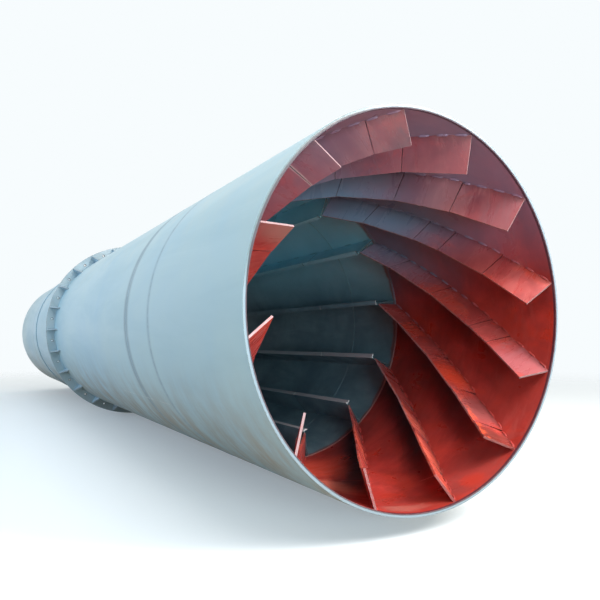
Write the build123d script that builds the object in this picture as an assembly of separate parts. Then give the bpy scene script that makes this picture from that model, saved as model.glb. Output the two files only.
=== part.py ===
from build123d import *
import os
from math import cos, radians, sin

# Rotary drum of a sawdust dryer, lying level with its open inlet end towards -Y.
# Millimetres. The drum's axis runs along Y, +Z is up, and the origin is on the floor
# under the middle of the drum. Angles are seen from the inlet, from +X towards +Z.

os.makedirs("parts", exist_ok=True)

# Shell, rolled in courses that are welded end to end
shell_radius = 1100.0
shell_wall = 22.0
inlet_course = 1500.0
second_course = 600.0
main_course = 6150.0
tyre_course = 500.0
outlet_course = 2250.0
tyre_course_step = 12.0
bore_radius = shell_radius - shell_wall
courses = {
    "shell_course_1": inlet_course,
    "shell_course_2": second_course,
    "shell_course_3": main_course,
    "tyre_course": tyre_course,
    "shell_course_4": outlet_course,
}
drum_length = sum(courses.values())

# Gear flange on the main course: a flat ring with bolt holes, and a gusset between each two holes
flange_height = 112.0
flange_plate = 30.0
flange_offset = 3900.0
bolt_count = 24
bolt_rise = 43.0
bolt_hole = 27.0
gusset_plate = 14.0
gusset_drop = 12.0
gusset_foot = 240.0
gusset_toe = 12.0
flange_radius = shell_radius + flange_height
flange_station = inlet_course + second_course + flange_offset
gusset_height = flange_height - gusset_drop

# Flights, in both zones
flight_count = 12
flight_pitch = 360.0 / flight_count
over_trim = 40.0

# Spiral flights of the inlet zone: short flat plates set one after another along a helix
spiral_plate = 12.0
spiral_depth = 188.0
spiral_root_start = 22.0
spiral_end_clear = 10.0
spiral_rake = 42.0
spiral_root_angle = 9.0
spiral_root_turn = 58.4
spiral_tip_angle = 3.9
spiral_tip_turn = 67.0
spiral_hold = 0.75
spiral_joint_gap = 4.0
spiral_full_plate = 352.0
spiral_least_plate = 130.0
spiral_tip_radius = bore_radius - spiral_depth
spiral_root_end = inlet_course - spiral_end_clear

# The lengths of each flight's first plates; full plates follow them
spiral_first_plates = {
    1: (168.0,),
    2: (319.0,),
    3: (325.0, 323.0),
    4: (308.0, 308.0, 170.0),
    5: (314.0, 159.0),
    6: (158.0, 337.0),
    7: (297.0,),
    8: (187.0,),
    9: (387.0,),
    10: (253.0,),
    11: (153.0,),
    12: (150.0,),
}

# How far each flight's inlet end was set off true by hand: the tip and the root in degrees,
# and the plate cut short in mm
spiral_hand_set = {
    1: (-1.4, -2.2, 17.0),
    2: (0.9, 0.5, -3.0),
    3: (0.9, 0.9, -14.0),
    4: (0.0, 0.8, 0.0),
    5: (0.2, 1.2, 12.0),
    6: (0.2, 1.5, -8.0),
    7: (2.8, 1.8, 22.0),
    8: (1.0, 2.1, 10.0),
    9: (0.6, 1.2, 3.0),
    10: (-1.5, -1.5, 22.0),
    11: (-0.6, -0.6, -4.0),
    12: (1.4, 1.4, -5.0),
}

# Straight lifting flights of the drying zone: radial plates with a lip turned at the tip
lifter_plate = 10.0
lifter_depth = 210.0
lifter_lip = 36.0
lifter_start_clear = 6.0
lifter_first = 838.0
lifter_first_short = {7: 74.0}
lifter_end_clear = 300.0
lifter_rows = 4
lifter_gap = 8.0
lifter_angle = 69.3
lifter_start = inlet_course + lifter_start_clear
lifter_end = drum_length - lifter_end_clear

axis_height = flange_radius
inlet_y = -drum_length / 2


def at(radius, angle, along):
    # A point by its radius, its angle in degrees and its distance from the inlet.
    a = radians(angle)
    return Vector(radius * cos(a), inlet_y + along, axis_height + radius * sin(a))


def across(along):
    # The plane square to the axis at a distance from the inlet.
    return Plane(at(0, 0, along), x_dir=(1, 0, 0), z_dir=(0, 1, 0))


def tube(outer, inner, start, width):
    # A plain ring on the drum's axis.
    return extrude(across(start) * (Circle(outer) - Circle(inner)), width)


def flight_turn(flight):
    # The angle of a flight, with flight 4 as the first and the rest clockwise from it.
    return -flight_pitch * (flight - 4)


def save(shape, name):
    export_step(shape, f"parts/{name}.step")


# Shell courses
station = 0.0
for name, width in courses.items():
    step = tyre_course_step if name == "tyre_course" else 0.0
    save(tube(shell_radius + step, bore_radius, station, width), name)
    station += width

# Gear flange with its ring of bolt holes
flange = tube(flange_radius, shell_radius, flange_station, flange_plate)
hole_pitch = 360.0 / bolt_count
for spot in PolarLocations(shell_radius + bolt_rise, bolt_count, hole_pitch / 2):
    flange -= extrude(across(flange_station) * spot * Circle(bolt_hole / 2), flange_plate)
save(flange, "gear_flange")

# Gussets: tapered plates that stand on the shell and meet the flange's inlet side
gusset_outline = [
    (0, 0),
    (gusset_foot, 0),
    (gusset_foot, gusset_toe),
    (gusset_toe, gusset_height),
    (0, gusset_height),
]
gussets = []
for i in range(bolt_count):
    outward = at(1, i * hole_pitch, 0) - at(0, 0, 0)
    foot = at(shell_radius, i * hole_pitch, flange_station)
    side = Plane(foot, x_dir=(0, -1, 0), z_dir=Vector(0, -1, 0).cross(outward))
    face = side * make_face(Polyline(*gusset_outline, close=True))
    gussets.append(extrude(face, gusset_plate / 2, both=True).solid())
save(Compound(gussets), "gear_flange_gussets")

# The clear round space inside the shell, which trims the roots of the spiral flights
bore = extrude(across(0) * Circle(bore_radius), drum_length)
spiral_reach = spiral_root_end - spiral_root_start


def spiral_ends(flight, share):
    # Root and tip points of a spiral flight at a share of its length. The far end is cut square.
    tip_set, root_set, short = spiral_hand_set[flight]
    root_along = spiral_root_start + share * spiral_reach
    tip_along = min(root_along + spiral_rake, spiral_root_end)
    tip_share = (tip_along - spiral_rake - spiral_root_start) / spiral_reach
    root_angle = spiral_root_angle + spiral_root_turn * share + root_set * (1 - share)
    tip_angle = spiral_tip_angle + spiral_tip_turn * tip_share + tip_set * (1 - share)
    tip_radius = spiral_tip_radius + short * (1 - share)
    root = at(bore_radius, root_angle + flight_turn(flight), root_along)
    tip = at(tip_radius, tip_angle + flight_turn(flight), tip_along)
    return root, tip


def flat_plate(flight, start, stop):
    # One flat plate between two shares of a flight, its root cut to the shell's curve.
    near_root, near_tip = spiral_ends(flight, start)
    far_root, far_tip = spiral_ends(flight, stop)
    near = near_root + (near_tip - near_root) * spiral_hold
    far = far_root + (far_tip - far_root) * spiral_hold
    fall = near_tip - near_root + far_tip - far_root
    flat = Plane(near, x_dir=far - near, z_dir=(far - near).cross(fall))
    near_past = near_root - (near_tip - near_root).normalized() * over_trim
    far_past = far_root - (far_tip - far_root).normalized() * over_trim
    corners = [flat.to_local_coords(p) for p in (near_past, near_tip, far_tip, far_past)]
    outline = Polyline(*[(c.X, c.Y) for c in corners], close=True)
    plate = extrude(flat * make_face(outline), spiral_plate / 2, both=True)
    return (plate & bore).solid()


def plate_joints(flight):
    # Where a flight's plates meet, as distances from the inlet along its root.
    joints = [spiral_root_start]
    for length in spiral_first_plates[flight]:
        joints.append(joints[-1] + length)
    while joints[-1] + spiral_full_plate < spiral_root_end - spiral_least_plate:
        joints.append(joints[-1] + spiral_full_plate)
    return joints[1:]


# Spiral flights
for flight in range(1, flight_count + 1):
    starts = [spiral_root_start]
    stops = []
    for joint in plate_joints(flight):
        stops.append(joint - spiral_joint_gap / 2)
        starts.append(joint + spiral_joint_gap / 2)
    stops.append(spiral_root_end)
    plates = []
    for start, stop in zip(starts, stops):
        shares = [(s - spiral_root_start) / spiral_reach for s in (start, stop)]
        plates.append(flat_plate(flight, *shares))
    save(Compound(plates), f"spiral_flight_{flight:02d}")

# Lifting flights, in rows of separate lengths
row_start = lifter_start + lifter_first
row_length = (lifter_end - row_start) / lifter_rows
half_plate = lifter_plate / 2
lifter_foot = bore_radius - (bore_radius**2 - half_plate**2) ** 0.5
lifter_section = [
    (lifter_foot, -half_plate),
    (lifter_depth, -half_plate),
    (lifter_depth, lifter_lip - half_plate),
    (lifter_depth - lifter_plate, lifter_lip - half_plate),
    (lifter_depth - lifter_plate, half_plate),
    (lifter_foot, half_plate),
]
for flight in range(1, flight_count + 1):
    angle = lifter_angle + flight_turn(flight)
    inward = at(0, 0, 0) - at(1, angle, 0)
    stops = [lifter_start, row_start - lifter_first_short.get(flight, 0.0)]
    for i in range(lifter_rows):
        stops.append(row_start + (i + 1) * row_length)
    lengths = []
    for i in range(lifter_rows + 1):
        start = stops[i] + (lifter_gap if i else 0.0)
        place = Plane(at(bore_radius, angle, start), x_dir=inward, z_dir=(0, 1, 0))
        face = place * make_face(Polyline(*lifter_section, close=True))
        lengths.append(extrude(face, stops[i + 1] - start).solid())
    save(Compound(lengths), f"lifting_flight_{flight:02d}")
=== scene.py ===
from math import cos, radians, sin

import bmesh
import bpy
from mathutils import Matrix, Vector, noise


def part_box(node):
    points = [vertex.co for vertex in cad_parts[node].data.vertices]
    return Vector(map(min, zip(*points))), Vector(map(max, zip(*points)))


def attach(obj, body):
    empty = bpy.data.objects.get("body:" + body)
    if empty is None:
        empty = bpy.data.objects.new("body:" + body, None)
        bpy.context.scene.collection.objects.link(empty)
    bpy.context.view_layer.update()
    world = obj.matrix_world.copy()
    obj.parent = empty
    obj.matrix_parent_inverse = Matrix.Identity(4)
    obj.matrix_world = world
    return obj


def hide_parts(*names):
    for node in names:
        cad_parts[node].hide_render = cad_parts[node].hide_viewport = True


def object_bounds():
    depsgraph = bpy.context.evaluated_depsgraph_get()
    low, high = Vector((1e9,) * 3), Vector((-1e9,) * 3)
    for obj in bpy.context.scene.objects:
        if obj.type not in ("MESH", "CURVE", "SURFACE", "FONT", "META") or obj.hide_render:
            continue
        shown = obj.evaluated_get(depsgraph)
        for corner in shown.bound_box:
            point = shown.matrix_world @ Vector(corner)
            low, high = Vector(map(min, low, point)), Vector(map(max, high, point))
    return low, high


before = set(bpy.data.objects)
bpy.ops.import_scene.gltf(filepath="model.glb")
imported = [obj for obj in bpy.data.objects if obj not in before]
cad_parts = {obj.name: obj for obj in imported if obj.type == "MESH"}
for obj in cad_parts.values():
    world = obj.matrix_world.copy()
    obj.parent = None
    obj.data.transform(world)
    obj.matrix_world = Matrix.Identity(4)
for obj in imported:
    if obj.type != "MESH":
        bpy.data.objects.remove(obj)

scene = bpy.context.scene
scene.view_settings.view_transform = "Standard"
cadLow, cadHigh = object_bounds()
mouthLow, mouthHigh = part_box("shell_course_1")
print("frame loaded with", len(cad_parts), "nodes")

# The drum's own measures in metres, most of them read from the frame
drum = {
    "wall": 0.022,
    "spiralDepth": 0.188,
    "lipDepth": 0.2,  # from the bore to the near side of a lifting flight's lip
    "shellRadius": (mouthHigh.x - mouthLow.x) / 2,
    "axisHeight": (mouthHigh.z + mouthLow.z) / 2,
    "inletY": mouthLow.y,
    "seams": (1.5, 2.1, 8.25, 8.75),
}
drum["boreRadius"] = drum["shellRadius"] - drum["wall"]
drum["spiralTip"] = drum["boreRadius"] - drum["spiralDepth"]
drum["lipRadius"] = drum["boreRadius"] - drum["lipDepth"]


def outward(angle):
    a = radians(angle)
    return Vector((cos(a), 0.0, sin(a)))


def at(radius, angle, along):
    # a point by radius, by angle in degrees from +X towards +Z, and by distance from the inlet
    return Vector((0.0, drum["inletY"] + along, drum["axisHeight"])) + outward(angle) * radius


def radialOf(point):
    away = Vector((point.x, 0.0, point.z - drum["axisHeight"]))
    return away.normalized()


# Camera at the photograph's angle
cameraSettings = {
    "place": (-2.1904, -7.7912, 1.0677),
    "turn": (90.733, 0.396, -28.373),
    "lens": 34.11,
    "sensor": 36.0,
    "shift": (0.0473, 0.0522),
}
cameraData = bpy.data.cameras.new("drumCamera")
cameraData.lens = cameraSettings["lens"]
cameraData.sensor_width = cameraSettings["sensor"]
cameraData.shift_x, cameraData.shift_y = cameraSettings["shift"]
camera = bpy.data.objects.new("drumCamera", cameraData)
camera.location = cameraSettings["place"]
camera.rotation_euler = [radians(a) for a in cameraSettings["turn"]]
scene.collection.objects.link(camera)
scene.camera = camera

# Soft studio light: wide lamps, besides the room's pale dome that is set at the end
lampSettings = {
    "overhead": {
        "place": (-2.0, 1.0, 10.0), "aim": (0.0, 0.5, 1.2),
        "size": 9.0, "power": 70.0, "tone": (1.0, 0.99, 0.97),
    },
    "mouthHigh": {
        "place": (-0.8, -10.5, 8.0), "aim": (0.2, -5.0, 0.6),
        "size": 5.0, "power": 470.0, "tone": (1.0, 0.98, 0.96),
    },
    "mouthRight": {
        "place": (3.4, -9.6, 5.2), "aim": (-0.2, -4.8, 0.7),
        "size": 2.8, "power": 620.0, "tone": (1.0, 0.98, 0.95),
    },
    "mouthLow": {
        "place": (-1.2, -11.0, 0.7), "aim": (0.0, -4.0, 2.0),
        "size": 3.0, "power": 350.0, "tone": (0.66, 0.92, 1.0),
    },
    "leftSide": {
        "place": (-10.0, -0.5, 3.2), "aim": (0.0, 0.0, 1.2),
        "size": 5.0, "power": 420.0, "tone": (0.33, 0.63, 1.0),
    },
}
for name, lamp in lampSettings.items():
    lightData = bpy.data.lights.new(name, "AREA")
    lightData.size = lamp["size"]
    lightData.energy = lamp["power"]
    lightData.color = lamp["tone"]
    light = bpy.data.objects.new(name, lightData)
    light.location = lamp["place"]
    aim = Vector(lamp["aim"]) - Vector(lamp["place"])
    light.rotation_euler = aim.to_track_quat("-Z", "Y").to_euler()
    light.visible_camera = False
    scene.collection.objects.link(light)
print("camera and lamps placed")


# Small helpers for shader trees, where a value may be a number, a colour or a node's output
def tone(red, green, blue):
    # a colour as a picture shows it, turned into the linear values that a shader wants
    parts = []
    for value in (red, green, blue):
        v = value / 255.0
        parts.append(v / 12.92 if v <= 0.04045 else ((v + 0.055) / 1.055) ** 2.4)
    return (*parts, 1.0)


def feed(tree, socket, value):
    if isinstance(value, bpy.types.NodeSocket):
        tree.links.new(value, socket)
    else:
        socket.default_value = value


def calc(tree, operation, *values, clamp=False):
    node = tree.nodes.new("ShaderNodeMath")
    node.operation = operation
    node.use_clamp = clamp
    for socket, value in zip(node.inputs, values):
        feed(tree, socket, value)
    return node.outputs[0]


def chain(tree, operation, values, clamp):
    # one operation carried through all the values, and the last result clamped if asked
    result = values[0]
    for i in range(1, len(values)):
        result = calc(tree, operation, result, values[i], clamp=clamp and i == len(values) - 1)
    return result


def product(tree, *values, clamp=False):
    return chain(tree, "MULTIPLY", values, clamp)


def total(tree, *values, clamp=False):
    return chain(tree, "ADD", values, clamp)


def minus(tree, first, second):
    return calc(tree, "SUBTRACT", first, second)


def squares(tree, first, second):
    return total(tree, product(tree, first, first), product(tree, second, second))


def absolute(tree, value):
    return calc(tree, "ABSOLUTE", value)


def vectorCalc(tree, operation, *values):
    node = tree.nodes.new("ShaderNodeVectorMath")
    node.operation = operation
    for socket, value in zip(node.inputs, values):
        feed(tree, socket, value)
    return node.outputs


def split(tree, vector):
    node = tree.nodes.new("ShaderNodeSeparateXYZ")
    feed(tree, node.inputs[0], vector)
    return node.outputs


def join(tree, x, y, z):
    node = tree.nodes.new("ShaderNodeCombineXYZ")
    for socket, value in zip(node.inputs, (x, y, z)):
        feed(tree, socket, value)
    return node.outputs[0]


def ramp(tree, value, low, high, bottom=0.0, top=1.0):
    # a smooth rise from bottom to top while the value goes from low to high
    node = tree.nodes.new("ShaderNodeMapRange")
    node.interpolation_type = "SMOOTHSTEP"
    feed(tree, node.inputs["Value"], value)
    for label, number in (("From Min", low), ("From Max", high), ("To Min", bottom), ("To Max", top)):
        feed(tree, node.inputs[label], number)
    return node.outputs["Result"]


def blendTone(tree, share, first, second):
    node = tree.nodes.new("ShaderNodeMix")
    node.data_type = "RGBA"
    feed(tree, node.inputs[0], share)
    feed(tree, node.inputs[6], first)
    feed(tree, node.inputs[7], second)
    return node.outputs[2]


def lay(tree, colour, over, *covers):
    # another tone laid over a colour, as thick as all its covers multiplied
    return blendTone(tree, product(tree, *covers), colour, over)


def objectPlace(tree):
    return tree.nodes.new("ShaderNodeTexCoord").outputs["Object"]


def faceNormal(tree):
    return tree.nodes.new("ShaderNodeNewGeometry").outputs["Normal"]


def cloud(tree, vector, scale, detail=3.0, roughness=0.55, distortion=0.0):
    node = tree.nodes.new("ShaderNodeTexNoise")
    feed(tree, node.inputs["Vector"], vector)
    feed(tree, node.inputs["Scale"], scale)
    node.inputs["Detail"].default_value = detail
    node.inputs["Roughness"].default_value = roughness
    node.inputs["Distortion"].default_value = distortion
    return node.outputs["Fac"]


def patches(tree, low, high, bottom=0.0, top=1.0, stretch=None, **kind):
    # cloudy patches, from bottom to top while the cloud goes from low to high
    place = objectPlace(tree)
    if stretch:
        node = tree.nodes.new("ShaderNodeMapping")
        feed(tree, node.inputs["Vector"], place)
        node.inputs["Scale"].default_value = stretch
        place = node.outputs["Vector"]
    return ramp(tree, cloud(tree, place, **kind), low, high, bottom, top)


def newGroup(name, inputs, outputs):
    tree = bpy.data.node_groups.new(name, "ShaderNodeTree")
    for label, value in inputs.items():
        socket = tree.interface.new_socket(label, in_out="INPUT", socket_type="NodeSocketFloat")
        socket.default_value = value
    for label in outputs:
        tree.interface.new_socket(label, in_out="OUTPUT", socket_type="NodeSocketFloat")
    start = tree.nodes.new("NodeGroupInput")
    end = tree.nodes.new("NodeGroupOutput")
    return tree, start.outputs, end.inputs


def useGroup(tree, group, **values):
    node = tree.nodes.new("ShaderNodeGroup")
    node.node_tree = group
    for label, value in values.items():
        feed(tree, node.inputs[label], value)
    return node.outputs


# Group: where a point lies on the drum, and which way its face looks
def makeDrumPlace():
    outputs = ("Radius", "Angle", "Along", "Height", "Inward", "Axial", "Up")
    tree, _, end = newGroup("drumPlace", {}, outputs)
    x, y, z = split(tree, objectPlace(tree))
    faceX, faceY, faceZ = split(tree, faceNormal(tree))
    rise = minus(tree, z, drum["axisHeight"])
    radius = calc(tree, "SQRT", squares(tree, x, rise))
    out = total(tree, product(tree, faceX, x), product(tree, faceZ, rise))
    feed(tree, end["Radius"], radius)
    feed(tree, end["Angle"], calc(tree, "DEGREES", calc(tree, "ARCTAN2", rise, x)))
    feed(tree, end["Along"], minus(tree, y, drum["inletY"]))
    feed(tree, end["Height"], z)
    feed(tree, end["Inward"], calc(tree, "DIVIDE", product(tree, out, -1.0), radius))
    feed(tree, end["Axial"], faceY)
    feed(tree, end["Up"], faceZ)
    return tree


# Group: the uneven look of brushed or sprayed paint and rolled plate
grainSettings = {
    "patchy": {"detail": 4.0, "roughness": 0.6, "distortion": 0.4},
    "patchRange": (0.3, 0.7),
    "streaky": {"scale": 1.0, "detail": 5.0, "roughness": 0.62, "distortion": 0.6},
    "streakRange": (0.35, 0.68),
    "fine": {"detail": 2.0, "roughness": 0.5},
    "waves": {"scale": 1.7, "detail": 1.0, "roughness": 0.4},
}


def makePlateGrain():
    inputs = {"Patch Size": 0.6, "Streak Across": 9.0, "Streak Along": 1.2, "Fine Size": 0.01}
    tree, start, end = newGroup("plateGrain", inputs, ("Patches", "Streaks", "Fine", "Waves"))
    place = objectPlace(tree)
    x, y, z = split(tree, place)
    pulled = join(
        tree,
        product(tree, x, start["Streak Across"]),
        product(tree, y, start["Streak Along"]),
        product(tree, z, start["Streak Across"]),
    )
    patchScale = calc(tree, "DIVIDE", 1.0, start["Patch Size"])
    fineScale = calc(tree, "DIVIDE", 1.0, start["Fine Size"])
    patchy = cloud(tree, place, patchScale, **grainSettings["patchy"])
    streaky = cloud(tree, pulled, **grainSettings["streaky"])
    feed(tree, end["Patches"], ramp(tree, patchy, *grainSettings["patchRange"]))
    feed(tree, end["Streaks"], ramp(tree, streaky, *grainSettings["streakRange"]))
    feed(tree, end["Fine"], cloud(tree, place, fineScale, **grainSettings["fine"]))
    feed(tree, end["Waves"], cloud(tree, place, **grainSettings["waves"]))
    return tree


# Group: paint worn off along edges, found by rounding the shading there
wearSettings = {
    "samples": 4,
    "edgeRange": (0.995, 0.9),  # how well the rounded and the true face directions agree
    "broken": {"detail": 4.0, "roughness": 0.65},
    "limit": 0.95,
    "amountShare": 0.6,
    "edgeShare": 0.25,
}


def makeEdgeWear():
    tree, start, end = newGroup("edgeWear", {"Width": 0.004, "Amount": 0.6, "Break Up": 30.0}, ("Worn",))
    rounder = tree.nodes.new("ShaderNodeBevel")
    rounder.samples = wearSettings["samples"]
    feed(tree, rounder.inputs["Radius"], start["Width"])
    agreement = vectorCalc(tree, "DOT_PRODUCT", rounder.outputs[0], faceNormal(tree))["Value"]
    edge = ramp(tree, agreement, *wearSettings["edgeRange"])
    broken = cloud(tree, objectPlace(tree), start["Break Up"], **wearSettings["broken"])
    limit = minus(tree, wearSettings["limit"], product(tree, start["Amount"], wearSettings["amountShare"]))
    rubbed = total(tree, broken, product(tree, edge, wearSettings["edgeShare"]))
    feed(tree, end["Worn"], product(tree, edge, calc(tree, "GREATER_THAN", rubbed, limit)))
    return tree


# Group: dust that lies on top, and mud and grime that hold low down
dirtSettings = {
    "lying": (0.1, 0.95),
    "dust": {"low": 0.38, "high": 0.66, "scale": 5.0, "detail": 5.0, "roughness": 0.65},
    "ground": 0.02,
    "under": (-0.1, -0.95, 0.0, 0.6),
    "grime": {
        "low": 0.3, "high": 0.7, "bottom": 0.25, "stretch": (1.0, 2.2, 0.8),
        "scale": 3.2, "detail": 5.0, "roughness": 0.65,
    },
}


def makeYardDirt():
    tree, start, end = newGroup("yardDirt", {"Dust": 0.4, "Grime": 0.5, "Low Edge": 0.6}, ("Dust", "Grime"))
    facts = useGroup(tree, drumPlaceGroup)
    lying = ramp(tree, facts["Up"], *dirtSettings["lying"])
    dusty = patches(tree, **dirtSettings["dust"])
    feed(tree, end["Dust"], product(tree, lying, dusty, start["Dust"], clamp=True))
    low = ramp(tree, facts["Height"], start["Low Edge"], dirtSettings["ground"])
    under = ramp(tree, facts["Up"], *dirtSettings["under"])
    held = total(tree, low, under, clamp=True)
    grimy = patches(tree, **dirtSettings["grime"])
    feed(tree, end["Grime"], product(tree, held, grimy, start["Grime"], clamp=True))
    return tree


# Group: the ripples that a welder leaves along a bead
rippleSettings = {
    "wobble": {"scale": 60.0, "detail": 2.0},
    "spatter": {"scale": 420.0, "detail": 2.0},
    "burnt": {"low": 0.42, "high": 0.62, "scale": 24.0},
}


def makeWeldRipple():
    tree, start, end = newGroup("weldRipple", {"Pitch": 0.006, "Roughness": 0.4}, ("Height", "Burnt"))
    run = tree.nodes.new("ShaderNodeAttribute")
    run.attribute_name = "run"
    place = objectPlace(tree)
    wobble = product(tree, cloud(tree, place, **rippleSettings["wobble"]), start["Pitch"])
    phase = calc(tree, "DIVIDE", total(tree, run.outputs["Fac"], wobble), start["Pitch"])
    arcs = calc(tree, "PINGPONG", phase, 0.5)
    spatter = product(tree, cloud(tree, place, **rippleSettings["spatter"]), start["Roughness"])
    feed(tree, end["Height"], total(tree, arcs, spatter))
    feed(tree, end["Burnt"], patches(tree, **rippleSettings["burnt"]))
    return tree


# Group: a greyish bloom high up in the drum, lower and fuller deep inside, that also stands for painted
# light: cool light on the upper red surfaces, and a pool of light on the dark wall
bloomAndPaintedLightSettings = {
    "depth": (0.1, 1.1),
    "leftAngle": (90.0, 125.0),
    "patchy": {"low": 0.25, "high": 0.7, "bottom": 0.7, "scale": 1.1},
}


def makeCrownBloomAndPaintedLight():
    inputs = {"From": 1.2, "To": 2.1, "Amount": 0.9, "Near": 0.6, "Lowering": 0.5, "Leftward": 0.0}
    tree, start, end = newGroup("crownBloomAndPaintedLight", inputs, ("BloomAndPaintedLight", "Depth"))
    facts = useGroup(tree, drumPlaceGroup)
    depth = ramp(tree, facts["Along"], *bloomAndPaintedLightSettings["depth"])
    height = total(tree, facts["Height"], product(tree, depth, start["Lowering"]))
    rise = ramp(tree, height, start["From"], start["To"])
    patchy = patches(tree, **bloomAndPaintedLightSettings["patchy"])
    leftward = ramp(tree, facts["Angle"], *bloomAndPaintedLightSettings["leftAngle"], 0.0, start["Leftward"])
    near = total(tree, start["Near"], leftward, clamp=True)
    fullness = total(tree, near, product(tree, depth, minus(tree, 1.0, near)))
    feed(tree, end["BloomAndPaintedLight"], product(tree, rise, patchy, fullness, start["Amount"]))
    feed(tree, end["Depth"], depth)
    return tree


# Group: painted shade under the flights' overhang, found by looking out from the wall
# at a tilt, towards growing angles and the mouth
underFlightShadeSettings = {
    "samples": 8,
    "height": (1.8, 1.2),
}


def makePaintedShadeUnderFlights():
    inputs = {"Reach": 0.5, "Open": 0.8, "Closed": 0.3, "Tilt": 0.8, "Mouthward": 0.3}
    tree, start, end = newGroup("paintedShadeUnderFlights", inputs, ("PaintedShade",))
    facts = useGroup(tree, drumPlaceGroup)
    turn = calc(tree, "RADIANS", facts["Angle"])
    lean = join(
        tree,
        product(tree, calc(tree, "SINE", turn), start["Tilt"], -1.0),
        product(tree, start["Mouthward"], -1.0),
        product(tree, calc(tree, "COSINE", turn), start["Tilt"]),
    )
    tilted = vectorCalc(tree, "ADD", faceNormal(tree), lean)["Vector"]
    underFlightShade = tree.nodes.new("ShaderNodeAmbientOcclusion")
    underFlightShade.samples = underFlightShadeSettings["samples"]
    feed(tree, underFlightShade.inputs["Distance"], start["Reach"])
    feed(tree, underFlightShade.inputs["Normal"], vectorCalc(tree, "NORMALIZE", tilted)["Vector"])
    low = ramp(tree, facts["Height"], *underFlightShadeSettings["height"])
    closed = ramp(tree, underFlightShade.outputs["AO"], start["Open"], start["Closed"])
    feed(tree, end["PaintedShade"], product(tree, low, closed))
    return tree


drumPlaceGroup = makeDrumPlace()
crownBloomAndPaintedLightGroup = makeCrownBloomAndPaintedLight()
plateGrainGroup = makePlateGrain()
edgeWearGroup = makeEdgeWear()
yardDirtGroup = makeYardDirt()
weldRippleGroup = makeWeldRipple()
paintedShadeUnderFlightsGroup = makePaintedShadeUnderFlights()
print("shader groups built")


def newFinish(name):
    finish = bpy.data.materials.new(name)
    finish.use_nodes = True
    return finish, finish.node_tree, finish.node_tree.nodes["Principled BSDF"]


def bump(tree, shader, height, depth=1.0):
    node = tree.nodes.new("ShaderNodeBump")
    node.inputs["Distance"].default_value = depth
    feed(tree, node.inputs["Height"], height)
    feed(tree, shader.inputs["Normal"], node.outputs["Normal"])


# Pale blue-grey paint, as on the outside of the shell, its rim, the flange and the gussets
def scuffMark(tree, facts, look, start, end, angle, width):
    # a broken straight scuff on the outside, between two distances from the inlet
    direction = outward(angle)
    across = vectorCalc(tree, "DOT_PRODUCT", objectPlace(tree), (-direction.z, 0.0, direction.x))["Value"]
    offset = minus(tree, across, drum["axisHeight"] * direction.x)
    line = ramp(tree, absolute(tree, offset), width, 0.0)
    outside = ramp(tree, facts["Inward"], *look["scuffFacing"])
    near = ramp(tree, facts["Along"], start, start + look["scuffFade"])
    far = ramp(tree, facts["Along"], end, end - look["scuffFade"])
    return product(tree, line, outside, near, far, patches(tree, **look["scuffPatches"]))


def paintedHoleShade(tree, facts, holes):
    # painted shade in every hole of the bolt circle, with a faint dark ring round it
    folded = calc(tree, "PINGPONG", facts["Angle"], holes["halfPitch"])
    turned = calc(tree, "RADIANS", minus(tree, holes["halfPitch"], folded))
    aside = product(tree, turned, facts["Radius"])
    above = minus(tree, facts["Radius"], holes["circle"])
    away = calc(tree, "SQRT", squares(tree, aside, above))
    return ramp(tree, away, holes["rubbed"], holes["fullShade"], 0.0, holes["depth"])


def mouthRim(tree, facts, look):
    # where the cut face of the mouth is, and its colour: dark by the bore, and darker at the upper left as
    # painted shade
    rim = look["rim"]
    facing = ramp(tree, facts["Axial"], *rim["facing"])
    face = product(tree, facing, ramp(tree, facts["Along"], *rim["along"]))
    turned = ramp(tree, facts["Angle"], *rim["shadedAngle"])
    upperLeft = product(tree, turned, ramp(tree, facts["Height"], *rim["shadedHeight"]))
    across = minus(tree, facts["Radius"], product(tree, upperLeft, rim["shadedShift"]))
    bandLow, bandHigh = rim["innerBand"]
    inner = ramp(tree, across, drum["boreRadius"] + bandLow, drum["boreRadius"] + bandHigh)
    outer = blendTone(tree, upperLeft, look["rimTone"], look["rimShaded"])
    return face, blendTone(tree, inner, look["rimInner"], outer)


def makePalePaint(name, look):
    finish, tree, shader = newFinish(name)
    facts = useGroup(tree, drumPlaceGroup)
    grain = useGroup(tree, plateGrainGroup, **look["grain"])
    dirt = useGroup(tree, yardDirtGroup, **look["dirt"])
    wear = useGroup(tree, edgeWearGroup, **look["wear"])
    colour = blendTone(tree, grain["Patches"], look["paint"], look["paintCool"])
    colour = lay(tree, colour, look["runTone"], grain["Streaks"], look["runs"])
    # dark bands at the seams: painted shade of the beads and of the tyre course's step, with dirt held
    # along the welds
    for station, width, depth in look["seamShade"]:
        beside = absolute(tree, minus(tree, facts["Along"], station))
        colour = lay(tree, colour, look["seamTone"], ramp(tree, beside, width, 0.0), depth)
    for *path, depth in look["scuffs"]:
        colour = lay(tree, colour, look["scuffTone"], scuffMark(tree, facts, look, *path), depth)
    if look["holes"]:
        colour = lay(tree, colour, look["holeShadeTone"], paintedHoleShade(tree, facts, look["holes"]))
    rimFace, rimColour = mouthRim(tree, facts, look)
    colour = lay(tree, colour, rimColour, rimFace)
    colour = lay(tree, colour, look["dustTone"], dirt["Dust"])
    cleaner = minus(tree, 1.0, product(tree, rimFace, look["rimClean"]))
    colour = lay(tree, colour, look["grimeTone"], dirt["Grime"], cleaner)
    colour = lay(tree, colour, look["bareTone"], wear["Worn"], look["bare"])
    feed(tree, shader.inputs["Base Color"], colour)
    streaky = product(tree, grain["Streaks"], look["streakDullness"])
    grimy = product(tree, dirt["Grime"], look["grimeDullness"])
    feed(tree, shader.inputs["Roughness"], total(tree, streaky, look["roughness"], grimy, clamp=True))
    waves = product(tree, grain["Waves"], look["waves"])
    bump(tree, shader, total(tree, waves, product(tree, grain["Fine"], look["peel"])))
    return finish
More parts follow.
